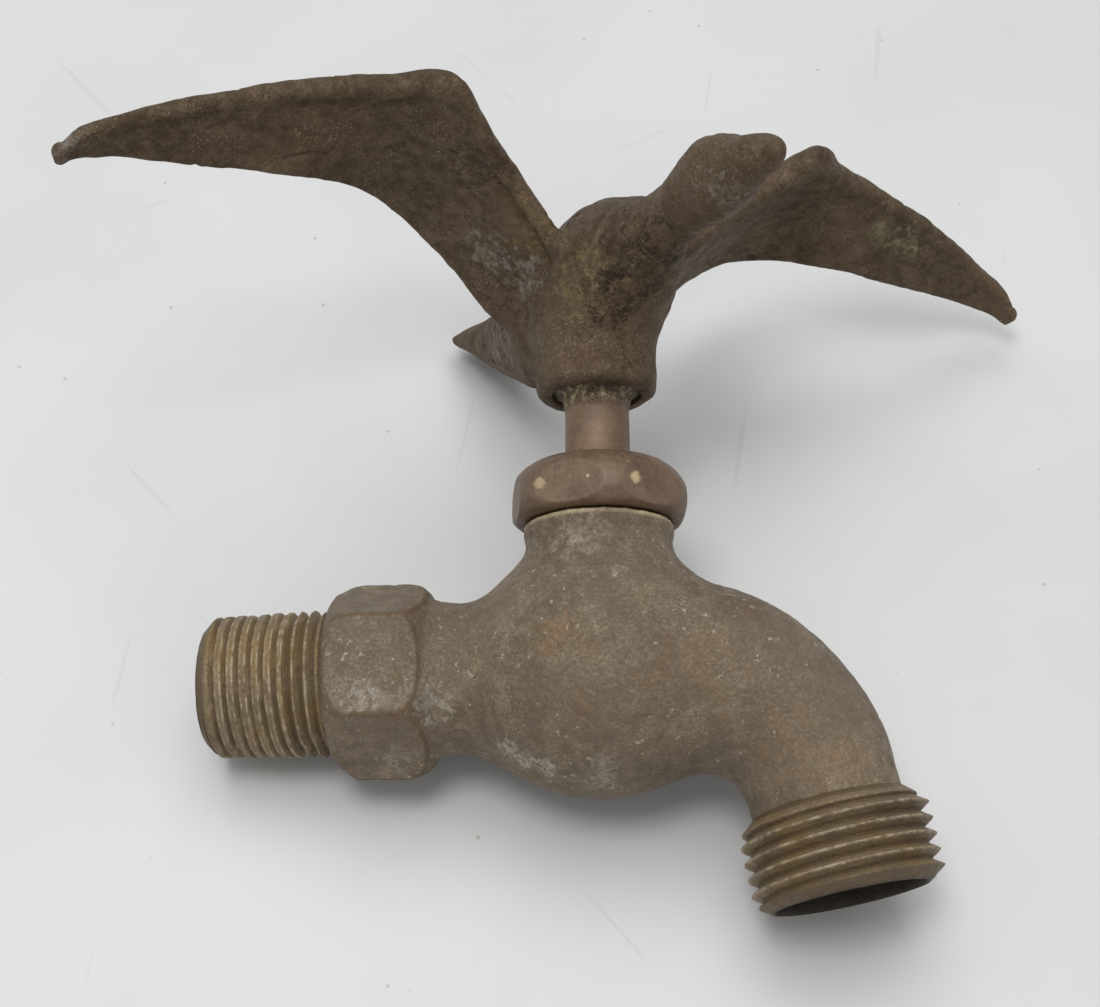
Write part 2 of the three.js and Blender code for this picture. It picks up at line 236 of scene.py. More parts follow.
def roughened(points, normals, layers):
    """Points moved along their normals by layers of noise, each (depth, size, seed)."""
    for depth, size, seed in layers:
        points = points + normals * (depth * noise(points, size, seed))[:, None]
    return points


def pitted(points, normals, depth, size, seed, above=0.55):
    """Points sunk into small hollows, where noise rises above a level."""
    hollow = smooth_step(noise(points, size, seed), above, above + 0.3)
    return points - normals * (depth * hollow)[:, None]


def scored(points, normals, path, width, depth):
    """Points sunk along a scratch or crease that follows a path."""
    rows = curve(path, 6)
    nearest = np.full(len(points), np.inf)
    for start, end in zip(rows, rows[1:]):
        step = end - start
        along = np.clip((points - start) @ step / (step @ step), 0, 1)
        nearest = np.minimum(nearest, np.linalg.norm(points - start - along[:, None] * step, axis=1))
    return points - normals * (depth * np.exp(-(nearest / width) ** 2))[:, None]


def about_stem(points, turn=0.0):
    """Points round the stem's axis turned and moved into the frame."""
    spin = np.array(Matrix.Rotation(turn, 3, "Z"))
    return points @ spin.T + (STEM_X, 0, 0)


# ---- Valve body ----------------------------------------------------------------------------------------

def up_from_mouth(x, z):
    """Height above the spout's open end, along the spout."""
    return (MOUTH.x - x) * math.sin(MOUTH_TILT) + (z - MOUTH.z) * math.cos(MOUTH_TILT)


def along_spout(distance, radius):
    """A pipe station [x, z, radius] at a distance up the spout from its open end."""
    x = MOUTH.x - math.sin(MOUTH_TILT) * distance
    return [x, MOUTH.z + math.cos(MOUTH_TILT) * distance, radius]


def hexagon_sides(y, z):
    """Distances from the inlet's axis, measured square to each of the three pairs of flats."""
    slanted = z * math.sqrt(3) / 2
    return [np.abs(y), np.abs(y / 2 + slanted), np.abs(y / 2 - slanted)]


def wrench_hexagon(x, y, z):
    sides = hexagon_sides(y, z)
    prism = smooth_max(smooth_max(sides[0], sides[1], 0.25), sides[2], 0.25) - HEX["flat"]
    rounding = turned_field([
        [HEX["start"], 11.5], [19.6, 12.8], [21.6, 14.2], [24.0, 14.7], [28.4, 14.7], [30.8, 14.0],
        [32.4, 12.7], [HEX["end"], 11.0],
    ], x, np.hypot(y, z))
    return smooth_max(prism, rounding, 0.25)


def casting_painted_shade(points):
    """Painted shade: 1 along the hexagon's edges and where its flats end towards the body, -1 inside the
    waterway and 0 elsewhere.
    """
    x, y, z = points.T
    sides = np.sort(hexagon_sides(y, z), axis=0)
    between = np.exp(-((sides[2] - sides[1]) / 0.5) ** 2)
    end = np.exp(-((sides[2] - HEX["flat"] + 0.35) / 0.35) ** 2) * (x > 29)
    on_pad = (x > HEX["start"]) & (x < HEX["end"]) & (sides[2] > HEX["flat"] - 1.2)
    edge = np.maximum(between, end) * on_pad
    return np.where(waterway(x, y, z) < 0.35, -1.0, edge)


def casting_outside(x, y, z):
    barrel = turned_field([
        [CASTING_CUT["inlet"], 10.6], [24, 11.4], [31, 11.5], [33.4, 11.3], [35.6, 11.0], [38.2, 10.9],
        [41, 11.5], [44.5, 12.6], [50, 13.4],
    ], x, np.hypot(y, z))
    round_neck = np.hypot(x - STEM_X, y)
    neck = turned_field([
        [4, 13.4], [9, 13.3], [11.6, 13.0], [13.6, 12.4], [15.2, 11.7], [17, 11.0], [19, 10.7],
        [20.4, 10.95], [21.4, 10.95], [21.75, 10.7], [21.9, 10.0],
    ], z, round_neck)
    thread = np.maximum(round_neck - 9.2, np.maximum(12 - z, z - 28.5))
    spout = pipe_field([
        [58, -0.8, 14.4], [68, -0.6, 13.8], [76, -2.6, 12.8], [82.6, -7.2, 11.5], [86.5, -13.0, 10.9],
        [88.2, -18.4, 10.6], along_spout(9.5, 10.7),
    ], x, y, z)
    globe = ellipsoid_field(GLOBE["centre"], GLOBE["radii"], x, y, z)
    belly = smooth_min(smooth_min(globe, spout, 3.0), barrel, 5.0)
    casting = smooth_min(smooth_min(belly, neck, 4.0), wrench_hexagon(x, y, z), 0.8)
    return np.minimum(casting, thread)


def waterway(x, y, z):
    """The passage from the inlet, up through the seat and down the spout, with the neck's bore."""
    bore = np.maximum(np.hypot(y, z) - INLET["bore"] - 0.05, x - 30)
    dip = pipe_field([
        [29, 0, 7.1], [36, -0.6, 6.8], [43, -3.4, 6.0], [49, -6.6, 5.4], [55, -8.6, 5.2],
        [STEM_X + 4.4, -8.9, 4.8],
    ], x, y, z)
    from_axis = np.hypot(x - STEM_X, y)
    port = np.maximum(from_axis - 5, np.maximum(-10 - z, z - 2))
    rim = turned_field([
        [0.2, 8.6], [1.2, 9.6], [5, 10], [9.6, 10], [11.8, 9.2], [13.4, 8.2], [13.8, 6.3],
    ], z, from_axis)
    seat = np.maximum(6.6 - from_axis, 0.2 - z)
    chamber = np.where(z < 1.2, np.maximum(rim, seat), rim)
    neck_bore = np.maximum(from_axis - 6.3, np.maximum(12 - z, z - 22))
    box = np.maximum(from_axis - 7.2, 21.9 - z)
    bend = pipe_field([
        [STEM_X + 3, 5.6, 5.4], [67, 4.4, 6.6], [75, 0.6, 7.4], [81.6, -5.0, 7.8], [86.0, -11.8, 7.8],
        [87.9, -18.4, 7.8], along_spout(9, 8.3),
    ], x, y, z)
    opened = smooth_min(smooth_min(bore, dip, 1.0), port, 0.8)
    closed = np.minimum(np.minimum(chamber, neck_bore), box)
    return np.minimum(np.minimum(opened, closed), bend)


def casting_field(x, y, z):
    """The casting with its waterway, between its two thread sleeves."""
    shape = np.maximum(casting_outside(x, y, z), -waterway(x, y, z))
    shape = np.maximum(shape, CASTING_CUT["inlet"] - x)
    return np.maximum(shape, CASTING_CUT["above_mouth"] - up_from_mouth(x, z))


def valve_casting(material):
    points, quads, normals = surface(casting_field, (17, -18, -26), (100, 18, 30), CELL)
    # Painted shade levels: the hexagon's edges and the waterway.
    wear_dirt_and_painted_light = casting_painted_shade(points)
    points = roughened(points, normals, [(0.16, 7.0, 1), (0.07, 2.2, 2), (0.05, 1.0, 3)])
    points = pitted(points, normals, 0.16, 1.3, 4)
    return placed("valve_casting", points, quads, material, "valve", ["valve_body"], wear_dirt_and_painted_light)


def from_crest(phase):
    """How far a phase in turns lies from the nearest crest: 0 on it, 1 midway between two."""
    return np.abs((phase + 0.5) % 1 - 0.5) * 2


def thread_height(phase, depth, crest_flat):
    """Height above the root of a thread, at a phase in turns from a crest."""
    return depth * np.clip((1.0 - from_crest(phase)) / (1 - crest_flat), 0.04, 1)


def thread_sleeve(t, chamfer, back, seed, turns=220):
    """Points, quads and wear and painted light levels of a threaded tube: heights run from its open end,
    angles from its own +X.

    The level is 1 on a crest, where it is partly wear and partly painted highlight, falls to 0 in the root
    and goes below 0 towards the open end and to -1 in the bore, which is painted shade.
    """
    angles = np.linspace(0, 2 * math.pi, turns, endpoint=False)
    signed = (angles + math.pi) % (2 * math.pi) - math.pi
    circle = np.stack([np.cos(angles), np.sin(angles), 0 * angles], axis=1) * t["crest"]
    battered = noise(circle, 2.0, seed)
    rows = blended([(t["end"], t["bore"]), (0.5, t["bore"]), (0.0, t["bore"] + 0.4)])
    # The bore's rows are -1: painted shade.
    wear_dirt_and_painted_light = [np.full(turns, -1.0)] * len(rows)
    for height in np.arange(0.0, t["end"], 0.12):
        phase = (height - t["first_crest"]) / t["pitch"] - signed / (2 * math.pi)
        root = t["crest"] + t.get("taper", 0) * height - t["depth"]
        worn = smooth_step(t["worn_to"] + 1.5 - height, 0, 3.0) if "worn_to" in t else 0.0
        crest_flat = 0.06 + 0.42 * worn + 0.06 * battered
        ridge = thread_height(phase, t["depth"], crest_flat)
        standing = 1 - smooth_step(height, t["fade"], t["fade"] + t["pitch"])
        filled = 0.45 * t["depth"] * worn * (1 - ridge / t["depth"])
        radius = smooth_min(root + (ridge + filled) * standing, chamfer[0] + chamfer[1] * height, 0.2)
        radius = smooth_min(radius, back + 1.2 * (t["end"] - height), 0.3)
        rows.append((height, radius))
        # The pale on a crest, partly painted highlight, peaks at the worn flat's edges and dips on the flat.
        highlight_inset = np.clip(crest_flat - 0.1 - from_crest(phase), 0, 0.3)
        level = ridge / t["depth"] * standing - highlight_inset * 1.6
        # Lower towards the open end, which darkens it.
        wear_dirt_and_painted_light.append(np.minimum(level, 0.6 * height - 0.65))
    points, quads = ring_grid(rows, turns)
    return points, quads[:, ::-1], np.concatenate(wear_dirt_and_painted_light)


def dented(points, wear_dirt_and_painted_light, seed, depth):
    """Points of a thread pulled in a little where its crests are bruised."""
    outward = points * (1, 1, 0)
    outward = outward / np.linalg.norm(outward, axis=1, keepdims=True)
    bruise = smooth_step(noise(points, 2.4, seed), 0.1, 0.7) * wear_dirt_and_painted_light
    fine = noise(points, 0.7, seed + 1) * 0.04
    return points - outward * (depth * bruise + fine)[:, None]


def inlet_thread(material):
    sizes = dict(INLET, worn_to=12.5, fade=17.0)
    points, quads, wear_dirt_and_painted_light = thread_sleeve(sizes, (8.75, 1.05), 9.6, 11)
    points = dented(points, wear_dirt_and_painted_light, 12, 0.45)
    # The sleeve's own +Z becomes the frame's +X, and its own +X the frame's +Z.
    turned = points[:, [2, 1, 0]] * (1, -1, 1)
    return placed("inlet_thread", turned, quads[:, ::-1], material, "valve", ["valve_body"], wear_dirt_and_painted_light)


def outlet_thread(material):
    sizes = dict(OUTLET, fade=11.0)
    points, quads, wear_dirt_and_painted_light = thread_sleeve(sizes, (10.95, 1.75), 10.5, 13, 260)
    height = points[:, 2]
    inner = np.hypot(points[:, 0], points[:, 1]) < OUTLET["bore"] + 0.05
    # The bore narrows upward, to meet the spout's.
    narrow = np.interp(height, [0, 0.6, 5.5, 10.5, 15], [10.7, 10.4, 10.0, 8.25, 8.2])
    points[:, :2] *= np.where(inner & (height > 0.1), narrow / OUTLET["bore"], 1.0)[:, None]
    points = dented(points, wear_dirt_and_painted_light, 14, 0.25)
    tilt = np.array(Matrix.Rotation(-MOUTH_TILT, 3, "Y"))
    return placed("outlet_thread", points @ tilt.T + MOUTH, quads, material, "valve", ["valve_body"], wear_dirt_and_painted_light)


# ---- Packing nut, stem and small pieces ----------------------------------------------------------------

def hexagon_radius(angles, flat):
    """How far a hexagon's side is from its middle at an angle from one side's middle."""
    return flat / np.cos((angles + math.pi / 6) % (math.pi / 3) - math.pi / 6)


def packing_nut(material):
    turns = 300
    angles = np.linspace(0, 2 * math.pi, turns, endpoint=False)
    limit = hexagon_radius(angles - NUT["turn"], NUT["flat"])
    low = NUT["bottom"]
    outside = curve([
        [low, 11.2], [low + 0.15, 11.8], [low + 0.7, 12.5], [low + 1.8, 13.1], [25.2, NUT["corner"]],
        [26.6, 13.2], [27.9, 12.7], [29.1, 11.9], [30.1, 10.8], [30.8, 9.4], [31.2, 7.5], [31.35, 5.9],
        [31.2, 5.3],
    ], 10)
    inside = blended([(31.0, NUT["bore"]), (29.6, NUT["bore"]), (29.6, NUT["thread"]), (low, NUT["thread"])])
    rows = [(height, smooth_min(radius, limit, 0.1)) for height, radius in outside]
    points, quads = ring_grid([*rows, *inside], turns)
    outward = points * (1, 1, 0) / np.linalg.norm(points[:, :2], axis=1, keepdims=True)
    points = roughened(points, outward, [(0.06, 3.0, 21), (0.03, 0.9, 22)])
    return placed("packing_nut_hex", about_stem(points), quads, material, "valve", ["packing_nut"])


def shaft_rows(angles):
    """The stem's (height, radius) rows: flange, lifting thread, round shank and square end."""
    s, t = SHAFT, LIFTING_THREAD
    from_flat = angles - BIRD_TURN
    square = s["square"] / np.maximum(np.abs(np.cos(from_flat)), np.abs(np.sin(from_flat)))
    rows = [(s["bottom"], 0.05), (s["bottom"], 6.9), (s["bottom"] + 0.4, s["flange"]), (7.0, s["flange"])]
    for height in np.arange(t["start"], t["end"], 0.2):
        phase = height / t["lead"] - angles / (2 * math.pi)
        rows.append((height, t["crest"] - t["depth"] + thread_height(phase, t["depth"], 0.15)))
    for height in np.arange(s["start"], s["top"] - 0.3, 0.3):
        shoulder = smooth_step(height, s["square_start"] - 0.2, s["square_start"] + 0.4)
        rows.append((height, s["radius"] * (1 - shoulder) + np.minimum(square, s["radius"]) * shoulder))
    return [*rows, (s["top"], 3.0), (s["top"], 0.05)]


def stem_shaft(material):
    """The stem in one skin, with dirt caked on it where it enters the hub. Its level in the shared wear,
    dirt and painted light attribute says how dirty it is.
    """
    turns = 160
    points, quads = ring_grid(shaft_rows(np.linspace(0, 2 * math.pi, turns, endpoint=False)), turns)
    height = points[:, 2]
    wear_dirt_and_painted_light = smooth_step(height, 38.6, 41.0)
    outward = points * (1, 1, 0) / np.maximum(np.linalg.norm(points[:, :2], axis=1, keepdims=True), 1)
    points = roughened(points, outward, [(0.03, 1.5, 31)])
    caked = smooth_step(wear_dirt_and_painted_light, 0.35, 0.9) * smooth_step(height, 44.5, 42.5)
    blotches = 0.25 + 0.25 * noise(points, 0.9, 32)
    filled = smooth_step(height, 41.6, 42.9) * smooth_step(height, 43.4, 43.2)
    filling = 1.65 + 0.25 * noise(points, 1.6, 33)
    points = points + outward * (caked * blotches + filled * filling)[:, None]
    return placed("stem_shaft", about_stem(points), quads, material, "stem_and_handle", ["stem"], wear_dirt_and_painted_light)


def small_screw(name, field, low, high, material, body, node, turn=0.0):
    points, quads, normals = surface(field, low, high, 0.16)
    points = roughened(points, normals, [(0.02, 0.8, 41)])
    return placed(name, about_stem(points, turn), quads, material, body, [node])


def set_screw_field(x, y, z):
    s = SET_SCREW
    round_part = np.hypot(y, z - s["z"]) - s["radius"]
    rod = smooth_max(round_part, np.maximum(-s["outer"] - x, x + s["inner"]), 0.4)
    slot = np.maximum(np.abs(y) - 0.45, x + s["outer"] - 0.9)
    return smooth_max(rod, -slot, 0.15)


def washer_screw_field(x, y, z):
    head_top = 1.4
    from_axis = np.sqrt(x * x + y * y)
    head = np.sqrt(from_axis ** 2 + ((z - head_top) * 1.9) ** 2) - 3.65
    head = np.maximum(head, z - head_top)
    shank = np.maximum(from_axis - 1.6, np.maximum(head_top - 1 - z, z - 11.6))
    slot = np.maximum(np.abs(y) - 0.45, z - (head_top - 1.1))
    return smooth_max(smooth_min(head, shank, 0.2), -slot, 0.15)


# ---- Bird handle, in its own axes: x forward to the beak, y to its left, z up --------------------------

# Tail, back, neck, head and beak: [forward, height of the middle, half width, half height].
TRUNK = [
    [-45.6, 65.9, 2.0, 0.9], [-45.0, 65.8, 4.6, 1.5], [-41, 64.6, 5.5, 2.5], [-30, 60.7, 5.8, 5.8],
    [-20, 58.7, 7.2, 9.0], [-10, 58.0, 8.6, 11.4], [0, 58.2, 9.5, 12.6], [8, 58.9, 9.0, 11.5],
    [15, 59.9, 7.0, 8.0], [21, 60.3, 5.0, 5.2], [26, 60.6, 4.3, 4.4], [31, 60.9, 4.5, 4.7],
    [36, 61.3, 5.1, 5.6], [40, 61.1, 5.1, 5.7], [43.5, 60.5, 4.4, 4.8], [46.5, 60.0, 3.6, 3.6],
    [49.5, 59.6, 3.1, 2.9], [52.4, 59.2, 2.5, 2.2], [54.2, 59.0, 1.4, 1.2], [54.6, 58.9, 0.4, 0.3],
]

# Root to tip: [span, leading edge forward, its height, trailing edge forward, its height].
WING = [
    [5, 7.5, 59.0, -9.5, 51.5], [12, 8.8, 66.0, -12.0, 58.0], [19, 10.8, 72.6, -13.2, 66.0],
    [24.5, 15.0, 76.2, -13.0, 70.6], [28.5, 17.8, 78.8, -11.6, 72.6], [32, 17.0, 80.2, -10.2, 73.4],
    [38, 12.0, 81.0, -7.6, 73.2], [46, 8.5, 80.9, -4.8, 71.5], [58, 5.0, 78.3, -5.5, 71.0],
    [70, 0.4, 75.0, -7.2, 70.8], [77.5, -2.4, 72.1, -7.0, 69.2], [80.0, -3.6, 69.6, -6.6, 67.4],
]

# Creases and scratches in the casting: the path, its width and its depth.
BIRD_CREASES = [
    ([[8.2, -19.6, 70.6], [7.4, -18.0, 69.0], [6.2, -15.0, 66.1], [5.2, -12.2, 63.1],
      [4.6, -10.4, 60.6]], 0.75, 1.0),
    ([[8.4, -9.6, 58.8], [10.8, -8.6, 58.4], [12.6, -7.6, 59.6], [14.4, -6.8, 61.2]], 0.5, 0.5),
    ([[-1.9, -48.5, 72.3], [-0.9, -45.2, 73.4], [-1.2, -41.9, 74.0]], 0.35, 0.4),
    ([[0.3, -60.3, 73.7], [1.4, -58.4, 74.4], [2.2, -56.5, 74.9]], 0.35, 0.35),
    ([[26.4, -4.0, 62.8], [25.6, -4.2, 61.4], [25.4, -3.8, 59.6]], 0.7, 0.45),
]


def trunk_field(x, y, z):
    rows = curve(TRUNK, 60)
    middle, wide, tall = (np.interp(x, rows[:, 0], rows[:, i]) for i in (1, 2, 3))
    near = np.hypot(y / wide, (z - middle) / tall)
    slope = np.hypot(y / wide ** 2, (z - middle) / tall ** 2)
    side = near * (near - 1) / np.maximum(slope, 1e-3)
    return np.maximum(side * 0.9, np.maximum(rows[0, 0] - x, x - rows[-1, 0]))


def wing_field(x, y, z):
    """Both wings: a thin blade between two edges, with a rounded rim along the leading edge."""
    rows = curve(WING, 80)
    span = np.abs(y)
    held = np.clip(span, rows[0, 0], rows[-1, 0])
    lead_x, lead_z, trail_x, trail_z = (np.interp(held, rows[:, 0], rows[:, i]) for i in (1, 2, 3, 4))
    chord_x, chord_z = trail_x - lead_x, trail_z - lead_z
    chord = np.hypot(chord_x, chord_z)
    outer = smooth_step(held, 10, 80)
    rim_radius = 2.3 - 0.9 * outer
    edge = rim_radius / chord
    along = ((x - lead_x) * chord_x + (z - lead_z) * chord_z) / chord ** 2
    held_along = np.clip(along, edge, 1 - 0.9 / chord)
    flat = np.hypot(x - lead_x - held_along * chord_x, z - lead_z - held_along * chord_z)
    beyond = span - held
    blade = np.hypot(flat, beyond) - (1.5 - 0.5 * outer - 0.35 * smooth_step(along, 0.15, 1.0))
    rim_x, rim_z = lead_x + edge * chord_x, lead_z + edge * chord_z
    rim = np.sqrt((x - rim_x) ** 2 + (z - rim_z) ** 2 + beyond ** 2) - rim_radius
    return smooth_min(blade, rim, 0.5)


def bird_field(x, y, z):
    """The bird with its hub, hollowed for the shank, the square, the set screw and a wide mouth."""
    from_axis = np.sqrt(x * x + y * y)
    hub = smooth_max(from_axis - HUB["radius"], np.maximum(HUB["bottom"] - z, z - 56), 1.8)
    bird = smooth_min(smooth_min(trunk_field(x, y, z), wing_field(x, y, z), 2.4), hub, 2.2)
    recess = np.maximum(from_axis - HUB["recess"], z - HUB["bottom"] - HUB["recess_depth"])
    shank = np.maximum(from_axis - SHAFT["radius"] - 0.3, z - SHAFT["square_start"] - 0.5)
    socket = np.maximum(np.maximum(np.abs(x), np.abs(y)) - SHAFT["square"] - 0.3, z - SHAFT["top"] - 0.3)
    screw = np.maximum(np.hypot(y, z - SET_SCREW["z"]) - SET_SCREW["radius"] - 0.3, x)
    hollow = np.minimum(np.minimum(smooth_min(recess, shank, 0.3), socket), screw)
    return smooth_max(bird, -hollow, 0.25)


def bird_handle(material):
    points, quads, normals = surface(bird_field, (-48, -85, 40), (58, 85, 87), CELL)
    points = roughened(points, normals, [(0.22, 6.0, 51), (0.12, 2.4, 52), (0.06, 1.0, 53)])
    points = pitted(points, normals, 0.28, 1.6, 54)
    for path, width, depth in BIRD_CREASES:
        points = scored(points, normals, path, width, depth)
    points = about_stem(points, -BIRD_TURN)
    return placed("flying_bird", points, quads, material, "stem_and_handle", ["bird_handle"])


# ---- Materials -----------------------------------------------------------------------------------------

class Nodes:
    """A short way to add shader nodes to one material."""

    def __init__(self, name):
        self.material = bpy.data.materials.new(name)
        self.material.use_nodes = True
        self.tree = self.material.node_tree
        self.shader = self.tree.nodes["Principled BSDF"]
        self.place = self.add("ShaderNodeTexCoord").outputs["Object"]

    def add(self, kind, settings=(), **inputs):
        made = self.tree.nodes.new(kind)
        for key, value in dict(settings).items():
            setattr(made, key, value)
        for key, value in inputs.items():
            self.feed(made.inputs[key.replace("_", " ")], value)
        return made

    def feed(self, socket, value):
        if isinstance(value, bpy.types.NodeSocket):
            self.tree.links.new(value, socket)
        else:
            socket.default_value = value

    def noise(self, size, detail, rough, low=0.0, high=1.0):
        """Noise with lumps about `size` millimetres across, stretched so that low..high becomes 0..1."""
        made = self.add("ShaderNodeTexNoise", Vector=self.place, Scale=1 / (size * MM), Detail=detail,
                        Roughness=rough)
        return self.stretch(made.outputs["Fac"], low, high)

    def pits(self, size, low, high):
        made = self.add("ShaderNodeTexVoronoi", Vector=self.place, Scale=1 / (size * MM))
        return self.stretch(made.outputs["Distance"], low, high)

    def stretch(self, value, low, high, to_low=0.0, to_high=1.0):
        made = self.add("ShaderNodeMapRange", {"interpolation_type": "SMOOTHSTEP"}, Value=value)
        for key, number in (("From Min", low), ("From Max", high), ("To Min", to_low), ("To Max", to_high)):
            made.inputs[key].default_value = number
        return made.outputs["Result"]

    def maths(self, operation, a, b):
        made = self.add("ShaderNodeMath", {"operation": operation})
        self.feed(made.inputs[0], a)
        self.feed(made.inputs[1], b)
        return made.outputs[0]

    def times(self, a, b):
        return self.maths("MULTIPLY", a, b)

    def mix(self, amount, a, b):
        made = self.add("ShaderNodeMix", {"data_type": "RGBA"})
        for socket, value in ((made.inputs["Factor"], amount), (made.inputs[6], a), (made.inputs[7], b)):
            self.feed(socket, value if isinstance(value, (bpy.types.NodeSocket, float)) else (*value, 1))
        return made.outputs[2]

    def patch(self, centre, radius, ragged):
        """1 inside a ragged patch about a point (mm), 0 outside it."""
        offset = self.add("ShaderNodeVectorMath", {"operation": "DISTANCE"})
        self.feed(offset.inputs[0], self.place)
        offset.inputs[1].default_value = [value * MM for value in centre]
        edge = self.times(self.noise(radius * 0.6, 6, 0.7, 0.33, 0.67), ragged * 2 * radius * MM)
        away = self.maths("ADD", offset.outputs["Value"], edge)
        return self.stretch(away, radius * MM * (0.55 + ragged), radius * MM * (1.25 + ragged), 1.0, 0.0)

    def dabbed(self, colour, patches, texture, tone):
        """A colour with ragged patches of a tone over it, each (centre, radius, strength)."""
        for centre, radius, strength in patches:
            amount = self.times(self.times(self.patch(centre, radius, 0.9), texture), strength)
            colour = self.mix(amount, colour, tone)
        return colour

    def band(self, axis, low, high):
        """1 between two heights (mm) along an axis, fading over a third of the width at each side."""
        value = self.add("ShaderNodeSeparateXYZ", Vector=self.place).outputs[axis]
        soft = (high - low) / 3
        rise = self.stretch(value, (low - soft) * MM, (low + soft) * MM)
        return self.times(rise, self.stretch(value, (high - soft) * MM, (high + soft) * MM, 1, 0))

    def attribute(self, name):
        return self.add("ShaderNodeAttribute", {"attribute_name": name}).outputs["Fac"]

    def bump(self, height, strength, depth):
        made = self.add("ShaderNodeBump", Height=height, Strength=strength, Distance=depth * MM)
        if self.shader.inputs["Normal"].links:
            self.tree.links.new(self.shader.inputs["Normal"].links[0].from_socket, made.inputs["Normal"])
        self.tree.links.new(made.outputs["Normal"], self.shader.inputs["Normal"])

    def finish(self, colour, roughness, metallic):
        self.feed(self.shader.inputs["Base Color"], colour)
        self.feed(self.shader.inputs["Roughness"], roughness)
        self.shader.inputs["Metallic"].default_value = metallic
        return self.material


def cast_patina(name, dark, middle, light, speck):
    """Sandy cast brass gone brown: broad clouds, fine pale specks and dark pits.

    Returns the nodes, the colour and the mottling, which roughness follows.
    """
    n = Nodes(name)
    clouds = n.noise(14, 5, 0.55, 0.35, 0.65)
    mottle = n.noise(2.4, 7, 0.7, 0.36, 0.64)
    grain = n.noise(0.5, 5, 0.75, 0.42, 0.68)
    sandy = n.noise(7, 6, 0.65, 0.42, 0.62)
    holes = n.stretch(n.pits(0.9, 0.05, 0.3), 0, 1, 1, 0)
    grit = n.times(n.stretch(n.pits(0.6, 0.14, 0.32), 0, 1, 1, 0), sandy)
    colour = n.mix(clouds, dark, middle)
    colour = n.mix(n.times(mottle, 0.6), colour, light)
    colour = n.mix(n.times(grain, 0.4), colour, [c * 0.55 for c in dark])
    colour = n.mix(n.times(grit, 0.7), colour, speck)
    hollow = n.times(holes, n.noise(5, 5, 0.6, 0.5, 0.66))
    colour = n.mix(n.times(hollow, 0.6), colour, [c * 0.35 for c in dark])
    n.bump(mottle, 0.4, 0.3)
    n.bump(grain, 0.5, 0.15)
    n.bump(grit, 0.5, 0.14)
    n.bump(hollow, -0.5, 0.2)
    return n, colour, mottle


# Pale mineral patches: centre and radius in millimetres, and strength.
BODY_CHALK = [
    ((45.0, -8.0, -12.0), 1.6, 0.8), ((47.4, -7.5, -13.5), 1.5, 1.0), ((50.0, -7.5, -14.7), 1.5, 1.0),
    ((58.0, -9.5, -14.6), 1.6, 0.5), ((57.5, -6.5, -16.4), 1.8, 0.5), ((33.8, -9.8, -5.8), 2.4, 0.8),
    ((32.0, -12.0, -3.0), 1.8, 0.5), ((24.5, -12.5, -5.0), 2.6, 0.6), ((27.6, -12.5, -5.6), 1.8, 0.5),
    ((27.9, -4.5, -12.5), 2.2, 0.45), ((61.4, -12.8, 12.0), 0.8, 0.9), ((60.6, -13.4, 11.0), 0.5, 0.9),
    ((56.0, -11.0, 17.5), 3.0, 0.45), ((62.0, -11.0, 16.5), 1.6, 0.35),
]

# Warm brown stains on the body, given in the same way.
BODY_RUST = [
    ((83.7, -10.5, -13.1), 4.5, 0.5), ((91.7, -9.8, -15.3), 3.0, 0.5), ((51.5, -15.9, 1.5), 2.5, 0.8),
    ((53.1, -16.1, 3.5), 1.8, 0.8), ((72.0, -13.3, -2.2), 4.5, 0.5),
]


def body_brass():
    """Brown cast brass, chalky in places, with painted shade: darker on the hexagon's edges and darkest in
    the waterway.
    """
    n, colour, mottle = cast_patina(
        "body_brass", dark=(0.135, 0.1, 0.062), middle=(0.215, 0.162, 0.104), light=(0.26, 0.2, 0.135),
        speck=(0.42, 0.35, 0.25),
    )
    chalk = n.noise(0.8, 6, 0.7, 0.35, 0.6)
    colour = n.dabbed(colour, BODY_CHALK, chalk, (0.42, 0.38, 0.32))
    ring = n.times(n.band("Z", 21.1, 22.1), n.noise(1.5, 5, 0.6, 0.25, 0.5))
    colour = n.mix(ring, colour, (0.58, 0.48, 0.3))
    stain = n.noise(13, 5, 0.6, 0.42, 0.62)
    colour = n.mix(n.times(stain, 0.55), colour, (0.13, 0.098, 0.066))
    flecks = n.times(n.noise(1.1, 5, 0.65, 0.6, 0.65), n.noise(8, 5, 0.6, 0.45, 0.58))
    colour = n.mix(n.times(flecks, 0.8), colour, (0.5, 0.43, 0.32))
    colour = n.dabbed(colour, BODY_RUST, chalk, (0.23, 0.145, 0.075))
    rust = n.times(n.noise(6, 6, 0.65, 0.54, 0.7), 0.6)
    colour = n.mix(rust, colour, (0.17, 0.108, 0.057))
    wear_dirt_and_painted_light = n.attribute("wear_dirt_and_painted_light")
    # Painted shade: dark brown along the hexagon's edges and where its flats end.
    colour = n.mix(n.stretch(wear_dirt_and_painted_light, 0.2, 0.9, 0, 0.65), colour, (0.13, 0.075, 0.033))
    # Painted shade: near black inside the waterway.
    colour = n.mix(n.stretch(wear_dirt_and_painted_light, -0.9, -0.2, 0.9, 0.0), colour, (0.035, 0.026, 0.016))
    n.bump(flecks, 0.6, 0.18)
    return n.finish(colour, n.stretch(mottle, 0, 1, 0.62, 0.5), 0.3)


